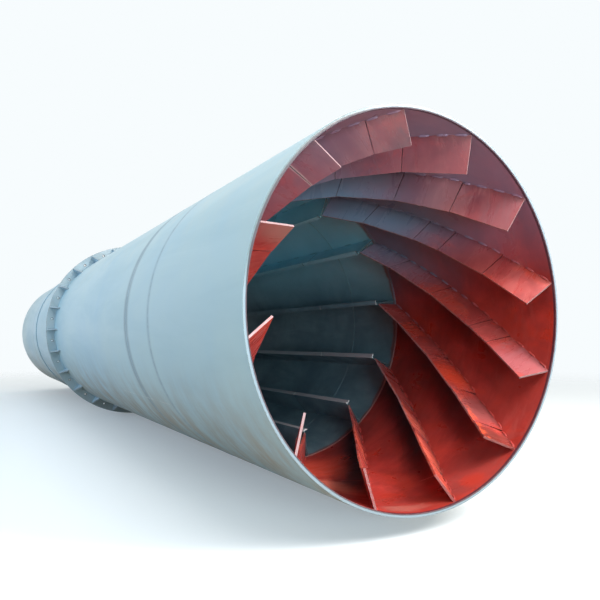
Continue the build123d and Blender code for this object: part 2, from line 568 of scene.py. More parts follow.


# Seam shades are dark bands at the seams, painted shade of the beads and the tyre course's step with dirt
# held along the welds, each (distance from the inlet, half width, depth), and scuffs are (near end, far
# end, angle, half width, depth)
palePaintLook = {
    "grain": {"Patch Size": 1.6, "Streak Across": 3.0, "Streak Along": 0.5, "Fine Size": 0.006},
    "dirt": {"Dust": 0.25, "Grime": 0.8, "Low Edge": 0.95},
    "wear": {"Width": 0.004, "Amount": 0.5, "Break Up": 40.0},
    "paint": tone(182, 210, 214),
    "paintCool": tone(170, 204, 216),
    "runs": 0.1,
    "runTone": tone(140, 160, 166),
    "seamShade": ((1.5, 0.05, 0.35), (2.1, 0.09, 0.8), (8.25, 0.03, 0.1), (8.74, 0.07, 0.55)),
    "seamTone": tone(100, 124, 136),
    "scuffs": ((1.55, 2.98, -146.7, 0.008, 0.75), (2.84, 2.89, -161.6, 0.014, 1.0)),
    "scuffFacing": (-0.5, -0.9),
    "scuffFade": 0.05,
    "scuffPatches": {"low": 0.42, "high": 0.6, "scale": 14.0, "detail": 4.0, "roughness": 0.7},
    "scuffTone": tone(226, 234, 232),
    "holes": None,
    "holeShadeTone": tone(52, 58, 62),
    "rim": {
        "facing": (-0.6, -0.9),
        "along": (0.006, 0.003),
        # painted shade on the rim's face at the upper left
        "shadedAngle": (104.0, 124.0),
        "shadedHeight": (1.25, 1.5),
        "shadedShift": 0.007,
        "innerBand": (0.005, 0.010),
    },
    "rimClean": 0.85,
    "rimTone": tone(144, 160, 172),
    "rimShaded": tone(112, 132, 138),
    "rimInner": tone(72, 66, 74),
    "dustTone": tone(204, 206, 196),
    "grimeTone": tone(160, 142, 118),
    "bare": 0.8,
    "bareTone": tone(112, 92, 78),
    "roughness": 0.36,
    "streakDullness": 0.12,
    "grimeDullness": 0.25,
    "waves": 0.004,
    "peel": 0.00012,
}
palePaint = makePalePaint("palePaint", palePaintLook)

flangePaintLook = dict(palePaintLook)
flangePaintLook.update({
    "grain": {"Patch Size": 0.35, "Streak Across": 5.0, "Streak Along": 5.0, "Fine Size": 0.005},
    "dirt": {"Dust": 0.4, "Grime": 0.5, "Low Edge": 0.7},
    "wear": {"Width": 0.005, "Amount": 0.85, "Break Up": 55.0},
    "paint": tone(182, 200, 208),
    "paintCool": tone(164, 188, 200),
    "runs": 0.3,
    "seamShade": (),
    "scuffs": (),
    # painted shade in and round the bolt holes: full within fullShade, gone by the radius named rubbed
    "holes": {"circle": 1.143, "halfPitch": 7.5, "rubbed": 0.021, "fullShade": 0.015, "depth": 0.9},
    "grimeTone": tone(176, 158, 142),
    "waves": 0.0015,
})
flangePaint = makePalePaint("flangePaint", flangePaintLook)


# Red oxide primer, brushed on thick, as inside the first course and on the spiral flights
def ovalSpot(tree, facts, ragged, angle, along, halfAngle, halfAlong, depth):
    # an oval spot of another tone, full near its middle and ragged at its edge
    offRound = calc(tree, "DIVIDE", minus(tree, facts["Angle"], angle), halfAngle)
    offAlong = calc(tree, "DIVIDE", minus(tree, facts["Along"], along), halfAlong)
    away = total(tree, squares(tree, offRound, offAlong), ragged)
    return ramp(tree, away, 1.0, 0.1, 0.0, depth)


def scratchMark(tree, facts, angle, along, halfAngle, slant, width, depth):
    # a fine line round the drum that moves along it by the slant, in metres a degree
    offRound = minus(tree, facts["Angle"], angle)
    offAlong = minus(tree, minus(tree, facts["Along"], along), product(tree, offRound, slant))
    line = ramp(tree, absolute(tree, offAlong), width, 0.0)
    return product(tree, line, ramp(tree, absolute(tree, offRound), halfAngle, halfAngle * 0.5, 0.0, depth))


def primerCoat(tree, facts, grain, look):
    # the primer itself, with its vivid patches, streaks, pale brush strokes and spots, some of them painted
    # light and shade
    vivid = patches(tree, **look["vividPatches"])
    strokes = patches(tree, **look["strokePatches"])
    colour = blendTone(tree, grain["Patches"], look["paint"], look["paintDeep"])
    colour = lay(tree, colour, look["vividTone"], vivid, look["vivid"])
    colour = lay(tree, colour, look["streakTone"], grain["Streaks"], look["streaks"])
    nearby = ramp(tree, facts["Along"], *look["strokeReach"])
    colour = lay(tree, colour, look["paleTone"], strokes, nearby, look["pale"])
    ragged = product(tree, minus(tree, look["strokeMiddle"], strokes), look["ragged"])
    for *oval, spotTone in look["paintAndLightSpots"]:
        colour = lay(tree, colour, spotTone, ovalSpot(tree, facts, ragged, *oval))
    return colour, vivid


def bloomPaintedLightAndShade(tree, facts, look, colour):
    # bloom at the crown, which also paints cool light there, and painted shade deep inside and under the
    # flights
    bloomAndPaintedLight = useGroup(tree, crownBloomAndPaintedLightGroup, **look["bloomAndPaintedLight"])
    bloomAndPaintedLightTone = blendTone(tree, bloomAndPaintedLight["Depth"], look["bloomAndPaintedLightTone"], look["bloomAndPaintedLightDeep"])
    colour = lay(tree, colour, bloomAndPaintedLightTone, bloomAndPaintedLight["BloomAndPaintedLight"])
    # painted shade that grows deeper into the drum, away from the mouth
    deepShading = product(tree, ramp(tree, facts["Along"], *look["deepShadeReach"]), look["deepShade"])
    # painted shade under the flights' overhang, held off near the mouth
    underFlightShade = useGroup(tree, paintedShadeUnderFlightsGroup, **look["underFlightShade"])
    held = ramp(tree, facts["Along"], *look["cornerReach"], look["mouthShade"], look["cornerShade"])
    shaded = calc(tree, "MAXIMUM", deepShading, product(tree, underFlightShade["PaintedShade"], held))
    return lay(tree, colour, look["paintedShadeTone"], shaded)


def rubbedEdges(tree, facts, wear, look, colour):
    # the edges: dark grime and painted shade at the flights' roots, dark joints, chips low down, and steel
    # showing at cut and worn edges
    rim = ramp(tree, facts["Along"], look["rimBand"], look["rimBand"] * 0.6)
    colour = lay(tree, colour, look["rimTone"], rim, look["rim"])
    # dark grime and painted shade at the flights' roots, where the plates meet the wall
    root = ramp(tree, facts["Radius"], drum["boreRadius"] - look["rootReach"], drum["boreRadius"])
    colour = lay(tree, colour, look["rootGrimeShadeAndJointTone"], root, look["root"])
    tip = ramp(tree, facts["Inward"], *look["tipFacing"])
    end = ramp(tree, absolute(tree, facts["Axial"]), *look["endFacing"])
    mouthEnd = product(tree, end, ramp(tree, facts["Along"], *look["mouthEnd"]))
    colour = lay(tree, colour, look["rootGrimeShadeAndJointTone"], minus(tree, end, mouthEnd), look["joint"])
    fromTip = minus(tree, facts["Radius"], drum["spiralTip"])
    nearTip = ramp(tree, fromTip, *look["chipReach"])
    low = ramp(tree, facts["Height"], *look["chipHeight"], 0.0, look["chips"])
    colour = lay(tree, colour, look["chipTone"], patches(tree, **look["chipPatches"]), nearTip, low)
    cut = calc(tree, "MAXIMUM", product(tree, tip, look["cutTip"]), mouthEnd)
    cleaner = ramp(tree, facts["Height"], *look["cutHeight"])
    cutTone = blendTone(tree, cleaner, look["cutLow"], look["cutTone"])
    colour = lay(tree, colour, cutTone, cut, look["cut"], patches(tree, **look["cutPatches"]))
    tipRub = ramp(tree, fromTip, *look["tipRub"])
    rubbed = calc(tree, "MAXIMUM", tipRub, ramp(tree, facts["Along"], *look["mouthRub"]))
    return lay(tree, colour, look["cutTone"], wear["Worn"], rubbed, look["bare"])


def makeRedOxide(name, look):
    finish, tree, shader = newFinish(name)
    facts = useGroup(tree, drumPlaceGroup)
    grain = useGroup(tree, plateGrainGroup, **look["grain"])
    wear = useGroup(tree, edgeWearGroup, **look["wear"])
    colour, vivid = primerCoat(tree, facts, grain, look)
    colour = bloomPaintedLightAndShade(tree, facts, look, colour)
    for scratch in look["scratches"]:
        colour = lay(tree, colour, look["scratchTone"], scratchMark(tree, facts, *scratch))
    colour = rubbedEdges(tree, facts, wear, look, colour)
    feed(tree, shader.inputs["Base Color"], colour)
    streaky = product(tree, grain["Streaks"], look["streakDullness"])
    smoother = product(tree, vivid, look["vividDullness"])
    feed(tree, shader.inputs["Roughness"], total(tree, streaky, look["roughness"], smoother, clamp=True))
    shader.inputs["Specular IOR Level"].default_value = look["specular"]
    waves = product(tree, grain["Waves"], look["waves"])
    brush = product(tree, grain["Streaks"], look["brush"])
    bump(tree, shader, total(tree, waves, brush, product(tree, grain["Fine"], look["peel"])))
    return finish


# Spots are (angle, distance from the inlet, half angle, half length, depth, tone), some of them uneven
# primer and some painted light and shade;
# scratches are (angle, distance, half angle, slant, half width, depth)
redWallLook = {
    "grain": {"Patch Size": 0.3, "Streak Across": 2.2, "Streak Along": 6.0, "Fine Size": 0.007},
    "wear": {"Width": 0.003, "Amount": 0.4, "Break Up": 45.0},
    "paint": tone(206, 70, 60),
    "paintDeep": tone(162, 50, 44),
    "vivid": 0.6,
    "vividTone": tone(206, 58, 34),
    "vividPatches": {
        "low": 0.5, "high": 0.68, "stretch": (3.0, 1.3, 3.0),
        "scale": 1.6, "detail": 4.0, "roughness": 0.6, "distortion": 0.8,
    },
    "streaks": 0.3,
    "streakTone": tone(124, 36, 36),
    "pale": 0.2,
    "paleTone": tone(208, 120, 110),
    "strokePatches": {
        "low": 0.5, "high": 0.7, "stretch": (1.8, 7.0, 1.8),
        "scale": 1.9, "detail": 5.0, "roughness": 0.62, "distortion": 1.4,
    },
    "strokeReach": (0.9, 0.1, 0.45, 1.0),
    "strokeMiddle": 0.4,
    "ragged": 0.5,
    # among these spots are a painted highlight on the low wall and darker spots of painted shade by the
    # mouth
    "paintAndLightSpots": (
        (-98.0, 0.62, 10.0, 0.3, 0.8, tone(250, 140, 116)),
        (-94.0, 0.24, 16.0, 0.16, 0.6, tone(150, 56, 50)),
        (-80.0, 0.12, 14.0, 0.18, 0.85, tone(158, 50, 38)),
        (-70.0, 0.13, 9.0, 0.17, 0.75, tone(132, 64, 62)),
        (-95.0, 0.1, 12.0, 0.07, 0.4, tone(190, 132, 118)),
        (-60.0, 0.18, 18.0, 0.26, 0.75, tone(164, 66, 60)),
        (24.0, 0.06, 34.0, 0.14, 0.5, tone(116, 40, 44)),
        (-22.0, 0.2, 26.0, 0.4, 0.45, tone(176, 60, 52)),
        (-101.0, 0.95, 6.0, 0.2, 0.5, tone(196, 74, 40)),
        (-66.0, 0.1, 6.0, 0.1, 0.6, tone(206, 56, 34)),
        (-87.0, 1.12, 20.0, 0.42, 0.7, tone(236, 88, 62)),
        (-76.0, 0.5, 8.0, 0.3, 0.35, tone(222, 76, 56)),
        (-58.0, 0.7, 10.0, 0.4, 0.4, tone(214, 70, 54)),
    ),
    "scratches": (
        (-88.2, 0.748, 3.6, -0.0135, 0.007, 0.8),
        (-71.0, 0.372, 3.6, -0.0066, 0.008, 0.8),
        (-97.3, 0.394, 1.8, -0.001, 0.006, 0.9),
    ),
    "scratchTone": tone(208, 120, 110),
    # a greyish bloom high up that also paints the cool light on the upper wall
    "bloomAndPaintedLight": {"From": 1.35, "To": 2.15, "Amount": 1.0, "Near": 0.9, "Lowering": 0.15, "Leftward": 0.1},
    "bloomAndPaintedLightTone": tone(144, 138, 170),
    "bloomAndPaintedLightDeep": tone(128, 146, 172),
    # painted shade deeper into the drum, and in the same tone under the flights
    "deepShade": 0.3,
    "deepShadeReach": (0.25, 1.45),
    # painted shade under the flights' overhang: its reach and tilt, and how far it is held off by the mouth
    "underFlightShade": {"Reach": 0.36, "Open": 0.66, "Closed": 0.28, "Tilt": 0.8, "Mouthward": 0.5},
    "cornerReach": (0.1, 0.8),
    "cornerShade": 0.95,
    "mouthShade": 0.15,
    "paintedShadeTone": tone(36, 18, 18),
    "rim": 0.85,
    "rimBand": 0.02,
    "rimTone": tone(58, 44, 56),
    "rootReach": 0.002,
    "root": 0.0,
    "rootGrimeShadeAndJointTone": tone(60, 20, 22),
    "joint": 0.0,
    "chips": 0.0,
    "chipReach": (0.045, 0.015),
    "chipHeight": (0.8, 0.55),
    "chipPatches": {"low": 0.47, "high": 0.56, "scale": 22.0, "detail": 4.0, "roughness": 0.7},
    "chipTone": tone(248, 100, 66),
    "cut": 0.0,
    "cutTip": 0.6,
    "cutHeight": (0.47, 0.52),
    "cutPatches": {"low": 0.3, "high": 0.55, "bottom": 0.6, "scale": 38.0, "detail": 4.0},
    "cutTone": tone(196, 176, 178),
    "cutLow": tone(196, 110, 104),
    "tipFacing": (0.75, 0.95),
    "endFacing": (0.55, 0.8),
    "mouthEnd": (0.13, 0.1),
    "tipRub": (0.035, 0.015),
    "mouthRub": (0.12, 0.09),
    "bare": 0.4,
    "roughness": 0.3,
    "streakDullness": 0.22,
    "vividDullness": -0.08,
    "specular": 0.5,
    "waves": 0.005,
    "brush": 0.0004,
    "peel": 0.00015,
}
redWall = makeRedOxide("redWall", redWallLook)

redPlateLook = dict(redWallLook)
redPlateLook.update({
    "grain": {"Patch Size": 0.25, "Streak Across": 2.2, "Streak Along": 10.0, "Fine Size": 0.006},
    "wear": {"Width": 0.003, "Amount": 0.75, "Break Up": 35.0},
    "paint": tone(198, 84, 79),
    "paintDeep": tone(166, 58, 55),
    "vivid": 0.7,
    "vividTone": tone(226, 76, 54),
    "streaks": 0.28,
    "streakTone": tone(134, 42, 42),
    "pale": 0.3,
    # among these spots are painted highlights and sheen on the plates, and painted shade on their near ends
    "paintAndLightSpots": (
        (-72.0, 0.4, 22.0, 0.5, 0.75, tone(242, 110, 88)),
        (-100.0, 0.4, 22.0, 0.5, 0.75, tone(242, 114, 94)),
        (-19.5, 0.16, 13.0, 0.27, 0.8, tone(172, 96, 100)),
        (-51.0, 0.79, 8.0, 0.22, 0.6, tone(252, 124, 104)),
        (-71.0, 1.0, 9.0, 0.25, 0.6, tone(255, 112, 90)),
        (-52.0, 0.1, 9.0, 0.16, 0.9, tone(118, 52, 44)),
        (92.0, 0.12, 9.0, 0.16, 0.9, tone(104, 36, 40)),
        (62.0, 0.14, 9.0, 0.2, 0.6, tone(178, 56, 50)),
        (51.0, 0.5, 12.0, 0.3, 0.65, tone(240, 150, 144)),
        (36.0, 0.17, 10.0, 0.2, 0.5, tone(132, 66, 72)),
        (154.0, 0.1, 9.0, 0.16, 0.85, tone(176, 122, 112)),
        (-40.0, 0.35, 16.0, 0.22, 0.8, tone(160, 84, 82)),
        (-25.0, 0.7, 14.0, 0.2, 0.6, tone(236, 72, 40)),
    ),
    "scratches": ((134.1, 0.193, 5.0, -0.01, 0.014, 1.0),),
    "scratchTone": tone(206, 176, 178),
    # a greyish bloom high up that also paints the cool light on the upper flights
    "bloomAndPaintedLight": {"From": 1.45, "To": 2.1, "Amount": 1.0, "Near": 0.3, "Lowering": 0.12, "Leftward": 0.6},
    "bloomAndPaintedLightTone": tone(98, 98, 124),
    "bloomAndPaintedLightDeep": tone(134, 160, 188),
    # painted shade deeper into the drum
    "deepShade": 0.12,
    "cornerShade": 0.0,
    "mouthShade": 0.0,
    "rimBand": 0.001,
    "rootReach": 0.05,
    # dark grime and painted shade at the flights' roots
    "root": 0.35,
    "joint": 0.6,
    "chips": 0.7,
    "cut": 0.95,
    "cutTone": tone(176, 146, 148),
    "cutLow": tone(156, 68, 62),
    "bare": 0.55,
    "roughness": 0.22,
    "specular": 0.8,
    "waves": 0.003,
})
redPlate = makeRedOxide("redPlate", redPlateLook)


# Dark mill steel, as inside the drying zone and on the lifting flights
def overspray(tree, facts, look):
    # red primer that went past the seam, with a wandering edge
    wander = product(tree, cloud(tree, objectPlace(tree), **look["sprayCloud"]), look["overspray"])
    past = minus(tree, facts["Along"], total(tree, drum["seams"][0], wander))
    return ramp(tree, past, 0.0, -look["sprayFade"], 0.0, look["spray"])


def lipAndEnds(tree, facts, look, colour):
    # the lips' faces towards the axis, paler low down as painted light, and the flights' cut ends towards
    # the mouth, pale on the lips low down and in painted shade higher up and on the webs
    lipSide = ramp(tree, facts["Inward"], *look["lipFacing"])
    # the lips paler low down: painted light
    lipLow = ramp(tree, facts["Height"], *look["lipHeight"])
    colour = lay(tree, colour, look["lipPaintedLightTone"], lipSide, lipLow, look["lip"])
    cutEnd = ramp(tree, facts["Axial"], *look["endFacing"])
    lipEdge = drum["lipRadius"] + look["lipBlend"]
    lipEnd = ramp(tree, facts["Radius"], lipEdge, drum["lipRadius"], 0.0, look["end"])
    # cut ends pale low down, turning to painted shade higher up
    shadeHigher = ramp(tree, facts["Height"], *look["endHeight"])
    endTone = blendTone(tree, shadeHigher, look["endTone"], look["endPaintedShadeTone"])
    colour = lay(tree, colour, endTone, cutEnd, lipEnd)
    # painted shade on the ends of the webs
    webEnd = ramp(tree, facts["Radius"], lipEdge, lipEdge + look["lipBlend"])
    return lay(tree, colour, look["endPaintedShadeTone"], cutEnd, webEnd, look["webEnd"])


def makeDarkSteel(name, look):
    finish, tree, shader = newFinish(name)
    facts = useGroup(tree, drumPlaceGroup)
    grain = useGroup(tree, plateGrainGroup, **look["grain"])
    wear = useGroup(tree, edgeWearGroup, **look["wear"])
    bloomAndPaintedLight = useGroup(tree, crownBloomAndPaintedLightGroup, **look["bloomAndPaintedLight"])
    rusty = patches(tree, **look["rustPatches"])
    far = ramp(tree, facts["Along"], *look["farReach"])
    colour = blendTone(tree, grain["Patches"], look["steel"], look["steelDeep"])
    colour = lay(tree, colour, look["streakTone"], grain["Streaks"], look["streaks"])
    colour = lay(tree, colour, look["rustTone"], rusty, look["rust"])
    # a bloom high on the wall that is mostly a painted pool of light
    colour = lay(tree, colour, look["bloomAndPaintedLightTone"], bloomAndPaintedLight["BloomAndPaintedLight"])
    colour = lay(tree, colour, look["farTone"], far, look["far"])
    colour = lay(tree, colour, look["sprayTone"], overspray(tree, facts, look))
    colour = lipAndEnds(tree, facts, look, colour)
    colour = lay(tree, colour, look["bareTone"], wear["Worn"], look["bare"])
    feed(tree, shader.inputs["Base Color"], colour)
    dull = total(
        tree,
        product(tree, grain["Streaks"], look["streakDullness"]),
        look["roughness"],
        product(tree, far, look["farDullness"]),
        product(tree, rusty, look["rustDullness"]),
        clamp=True,
    )
    feed(tree, shader.inputs["Roughness"], dull)
    waves = product(tree, grain["Waves"], look["waves"])
    bump(tree, shader, total(tree, waves, product(tree, grain["Fine"], look["scale"])))
    return finish


darkWallLook = {
    "grain": {"Patch Size": 0.5, "Streak Across": 6.0, "Streak Along": 1.4, "Fine Size": 0.008},
    "wear": {"Width": 0.003, "Amount": 0.4, "Break Up": 45.0},
    "steel": tone(124, 152, 164),
    "steelDeep": tone(98, 124, 138),
    "streaks": 0.35,
    "streakTone": tone(84, 104, 112),
    "rust": 0.2,
    "rustTone": tone(124, 116, 110),
    "rustPatches": {"low": 0.55, "high": 0.72, "scale": 6.0, "detail": 6.0, "roughness": 0.7},
    # a painted pool of light high on the dark wall, laid as a pale teal bloom
    "bloomAndPaintedLight": {"From": 1.3, "To": 2.0, "Amount": 1.0, "Near": 1.0, "Lowering": 0.0},
    "bloomAndPaintedLightTone": tone(168, 230, 248),
    "far": 0.92,
    "farReach": (3.5, 8.0),
    "farTone": tone(62, 72, 77),
    "spray": 0.75,
    "sprayFade": 0.03,
    "sprayCloud": {"scale": 7.0, "detail": 4.0},
    "overspray": 0.1,
    "sprayTone": tone(128, 70, 62),
    # lips paler low down as painted light, and ends in painted shade higher up and on the webs
    "lip": 0.0,
    "lipFacing": (0.7, 0.95),
    "lipHeight": (1.35, 0.9, 0.05, 1.0),
    "lipBlend": 0.006,
    "lipPaintedLightTone": tone(190, 184, 188),
    "end": 0.0,
    "endFacing": (-0.55, -0.85),
    "endHeight": (1.2, 1.5),
    "endTone": tone(214, 214, 212),
    "webEnd": 0.85,
    "endPaintedShadeTone": tone(48, 54, 56),
    "bare": 0.4,
    "bareTone": tone(150, 152, 152),
    "roughness": 0.36,
    "streakDullness": 0.2,
    "farDullness": 0.4,
    "rustDullness": 0.2,
    "waves": 0.004,
    "scale": 0.0002,
}
darkWall = makeDarkSteel("darkWall", darkWallLook)

lifterLook = dict(darkWallLook)
lifterLook.update({
    "grain": {"Patch Size": 0.3, "Streak Across": 5.0, "Streak Along": 1.8, "Fine Size": 0.006},
    "wear": {"Width": 0.003, "Amount": 0.8, "Break Up": 28.0},
    "overspray": 0.0,
    "lip": 0.75,
    "end": 0.95,
    "bare": 0.35,
})
lifterSteel = makeDarkSteel("lifterSteel", lifterLook)


# Weld metal, painted over with its surroundings
def makeWeld(name, look):
    finish, tree, shader = newFinish(name)
    ripple = useGroup(tree, weldRippleGroup, **look["ripple"])
    # the bloom as on the surfaces round the weld, with the painted light it carries
    bloomAndPaintedLight = useGroup(tree, crownBloomAndPaintedLightGroup, **look["bloomAndPaintedLight"])
    bloomAndPaintedLightTone = blendTone(tree, bloomAndPaintedLight["Depth"], look["bloomAndPaintedLightTone"], look["bloomAndPaintedLightDeep"])
    colour = lay(tree, look["bead"], look["burntTone"], ripple["Burnt"], look["burnt"])
    feed(tree, shader.inputs["Base Color"], lay(tree, colour, bloomAndPaintedLightTone, bloomAndPaintedLight["BloomAndPaintedLight"]))
    shader.inputs["Roughness"].default_value = look["roughness"]
    bump(tree, shader, ripple["Height"], look["depth"])
    return finish


weldLook = {
    "ripple": {"Pitch": 0.007, "Roughness": 0.35},
    "bead": tone(166, 192, 202),
    "burnt": 0.5,
    "burntTone": tone(134, 156, 166),
    "bloomAndPaintedLight": {"From": 1.1, "To": 2.1, "Amount": 0.0},
    "bloomAndPaintedLightTone": tone(140, 134, 164),
    "bloomAndPaintedLightDeep": tone(108, 128, 152),
    "roughness": 0.45,
    "depth": 0.0012,
}
paleWeld = makeWeld("paleWeld", weldLook)
redWeld = makeWeld("redWeld", dict(
    weldLook,
    bead=tone(180, 64, 58),
    burntTone=tone(140, 48, 44),
    bloomAndPaintedLight={"From": 1.35, "To": 2.1, "Amount": 1.0, "Near": 0.8, "Lowering": 0.4},
))
darkWeld = makeWeld("darkWeld", dict(
    weldLook,
    bead=tone(118, 142, 152),
    burntTone=tone(98, 116, 124),
    # the dark wall's painted pool of light, on its welds too
    bloomAndPaintedLight=darkWallLook["bloomAndPaintedLight"],
    bloomAndPaintedLightTone=tone(144, 202, 216),
    bloomAndPaintedLightDeep=tone(144, 202, 216),
))
zoneWeld = makeWeld("zoneWeld", dict(
    weldLook,
    bead=tone(184, 122, 118),
    burntTone=tone(140, 92, 88),
    bloomAndPaintedLight={"From": 1.2, "To": 2.1, "Amount": 0.9},
))
print("finishes built")


def addPiece(bm, name, finishes, crease=35.0):
    mesh = bpy.data.meshes.new(name)
    bm.to_mesh(mesh)
    bm.free()
    for finish in finishes:
        mesh.materials.append(finish)
    for face in mesh.polygons:
        face.use_smooth = True
    mesh.set_sharp_from_angle(angle=radians(crease))
    piece = bpy.data.objects.new(name, mesh)
    scene.collection.objects.link(piece)
    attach(piece, "root")
    return piece


# Shell courses, rolled anew from the frame's own sizes with fine rings,
# rounded rims, slight buckles, and the draw that a ring weld gives the plate
courseSettings = {
    "names": ("shell_course_1", "shell_course_2", "shell_course_3", "tyre_course", "shell_course_4"),
    "segments": 264,
    "spacing": 0.25,
    "nearWeld": (0.0, 0.01, 0.022, 0.04, 0.065, 0.1, 0.15),
    "draw": 0.0016,
    "drawReach": 0.045,
    "buckle": 0.0010,
    "buckleRound": 1.3,
    "buckleAlong": 0.9,
    "rimRound": 0.0025,
    "rimBend": 0.3,
    "touching": 0.001,
    "inside": {"shell_course_1": redWall},
}


def ringStations(start, length):
    # distances from the inlet for a course's rings of points, close together by its ends
    near = courseSettings["nearWeld"]
    middle = length - 2 * near[-1]
    steps = max(1, round(middle / courseSettings["spacing"]))
    between = [near[-1] + middle * i / steps for i in range(1, steps)]
    stations = [*near, *between, *(length - s for s in reversed(near))]
    return [start + s for s in stations]


def weldDraw(along, stations, free):
    # how far the plate is pulled in near its welded ends
    pull = 0.0
    for isFree, away in zip(free, (along - stations[0], stations[-1] - along)):
        if not isFree:
            pull += courseSettings["draw"] * max(0.0, 1 - away / courseSettings["drawReach"]) ** 2
    return pull


def roundedRim(along, side, towards, into):
    # the rounded corner of a free end, from the cut face to the side of the wall
    full = courseSettings["rimRound"]
    bend = full * courseSettings["rimBend"]
    face = (along, side + into * full)
    middle = (along + towards * bend, side + into * bend)
    return [face, middle, (along + towards * full, side)]


def wallLine(stations, free, side, into):
    # one side of the wall, from the near end to the far end, as distances and radii
    line = [(along, side) for along in stations[1:-1]]
    near = roundedRim(stations[0], side, 1, into) if free[0] else [(stations[0], side)]
    far = roundedRim(stations[-1], side, -1, into)[::-1] if free[1] else [(stations[-1], side)]
    return near + line + far


def buckled(radius, angle, along):
    # the radius of the outside once its slight buckles are pushed in
    point = at(radius, angle, along)
    turn = courseSettings["buckleRound"]
    wave = noise.noise(Vector((point.x * turn, along * courseSettings["buckleAlong"], point.z * turn)))
    return radius - courseSettings["buckle"] * (wave * 0.5 + 0.5)


def rollCourse(name):
    low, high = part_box(name)
    start = low.y - drum["inletY"]
    stations = ringStations(start, high.y - low.y)
    touching = courseSettings["touching"]
    free = (abs(low.y - cadLow.y) < touching, abs(high.y - cadHigh.y) < touching)
    outer = wallLine(stations, free, (high.x - low.x) / 2, -1)
    outer = [(along, radius - weldDraw(along, stations, free)) for along, radius in outer]
    inner = wallLine(stations, free, drum["boreRadius"], 1)[::-1]
    count = len(outer) + len(inner)
    bm = bmesh.new()
    columns = []
    for k in range(courseSettings["segments"]):
        angle = 360.0 * k / courseSettings["segments"]
        points = [at(buckled(radius, angle, along), angle, along) for along, radius in outer]
        points += [at(radius, angle, along) for along, radius in inner]
        columns.append([bm.verts.new(point) for point in points])
    for here, there in zip(columns, columns[1:] + columns[:1]):
        for j in range(count):
            j2 = (j + 1) % count
            face = bm.faces.new((here[j], there[j], there[j2], here[j2]))
            face.material_index = 1 if len(outer) < j < count - 1 else 0
    bmesh.ops.recalc_face_normals(bm, faces=bm.faces)
    finishes = (palePaint, courseSettings["inside"].get(name, darkWall))
    piece = addPiece(bm, name + "_rolled", finishes)
    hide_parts(name)


for name in courseSettings["names"]:
    rollCourse(name)
print("shell courses rolled")


# Frame nodes whose shape stands as it is, by how their names begin
nodeFinishes = {"gear_flange": flangePaint, "spiral_flight": redPlate, "lifting_flight": lifterSteel}
for name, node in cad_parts.items():
    for beginning, finish in nodeFinishes.items():
        if name.startswith(beginning):
            node.data.materials.clear()
            node.data.materials.append(finish)

# Weld beads, of which each section is a corner, its two toes, its crown and its sink
beadSettings = {
    "profile": 5,
    "unevenness": 0.18,
    "unevenScale": 43.0,
    "endFade": 0.55,
    "crease": 60.0,
}


def layBead(bm, run, sections, closed=False):
    # one bead through its sections, uneven as hand work is
    layer = bm.verts.layers.float.get("run") or bm.verts.layers.float.new("run")
    count = beadSettings["profile"]
    loops = []
    travelled = run
    for i, (corner, toeA, toeB, crown, sink) in enumerate(sections):
        if i:
            travelled += (corner - sections[i - 1][0]).length
        uneven = noise.noise(corner * beadSettings["unevenScale"] + Vector((run, 0.0, 0.0)))
        jitter = 1.0 + beadSettings["unevenness"] * uneven
        fade = 1.0 if closed or 0 < i < len(sections) - 1 else beadSettings["endFade"]
        points = []
        for j in range(count):
            t = j / (count - 1)
            across = toeA * (1 - t) + toeB * t
            points.append(corner + across * jitter * fade + crown * 4 * t * (1 - t) * jitter * fade)
        points.append(corner + sink)
        verts = [bm.verts.new(p) for p in points]
        for v in verts:
            v[layer] = travelled
        loops.append(verts)
    following = loops[1:] + loops[:1] if closed else loops[1:]
    for here, there in zip(loops, following):
        for j in range(count + 1):
            j2 = (j + 1) % (count + 1)
            bm.faces.new((here[j], here[j2], there[j2], there[j]))
    if not closed:
        bm.faces.new(loops[0][::-1])
        bm.faces.new(loops[-1])


def closeBeads(bm, name, finish):
    bmesh.ops.recalc_face_normals(bm, faces=bm.faces)
    addPiece(bm, name, (finish,), crease=beadSettings["crease"])


# Butt welds round the shell at the seams: all of them outside, and inside the one between
# the zones apart from the rest
ringWelds = {
    "width": 0.018,
    "crown": 0.0028,
    "sink": 0.002,
    "bedding": 0.0006,
    "step": 2.0,
}
ringAngles = [i * ringWelds["step"] for i in range(round(360.0 / ringWelds["step"]))]
outerSeat = drum["shellRadius"] - courseSettings["draw"] - ringWelds["bedding"]
ringPieces = (
    ("ringWeldsOutside", "shell_paint", paleWeld, outerSeat, 1, drum["seams"]),
    ("ringWeldsInside", "dark_steel", darkWeld, drum["boreRadius"], -1, drum["seams"][1:]),
    ("zoneWeld", "red_oxide", zoneWeld, drum["boreRadius"], -1, drum["seams"][:1]),
)
side = Vector((0.0, ringWelds["width"] / 2, 0.0))
for name, slotName, finish, radius, sign, seams in ringPieces:
    beads = bmesh.new()
    for station in seams:
        sections = []
        for angle in ringAngles:
            away = outward(angle) * sign
            crown = away * ringWelds["crown"]
            sections.append((at(radius, angle, station), side, -side, crown, away * -ringWelds["sink"]))
        layBead(beads, station, sections, closed=True)
    closeBeads(beads, name, finish)

# Fillet welds of the flange and the gussets, placed from the frame's own flange and gussets
flangeWelds = {
    "leg": 0.010,
    "gussetLeg": 0.008,
    "gussetCount": 24,
    "gussetHalf": 0.007,
    "gussetInset": 0.012,
    "gussetShort": 0.016,
    "gussetRise": 0.078,
    "footSteps": 8,
    "riseSteps": 4,
    "fullness": 0.18,
    "bedding": 0.001,
    "footBedding": 0.0012,
    "riseOff": 0.0005,
    "sink": 0.001,
    "footSeed": 0.3,
    "riseSeed": 0.6,
}


def fillet(corner, toeA, toeB, sink, fullness=flangeWelds["fullness"]):
    return corner, toeA, toeB, (toeA + toeB) * fullness, sink


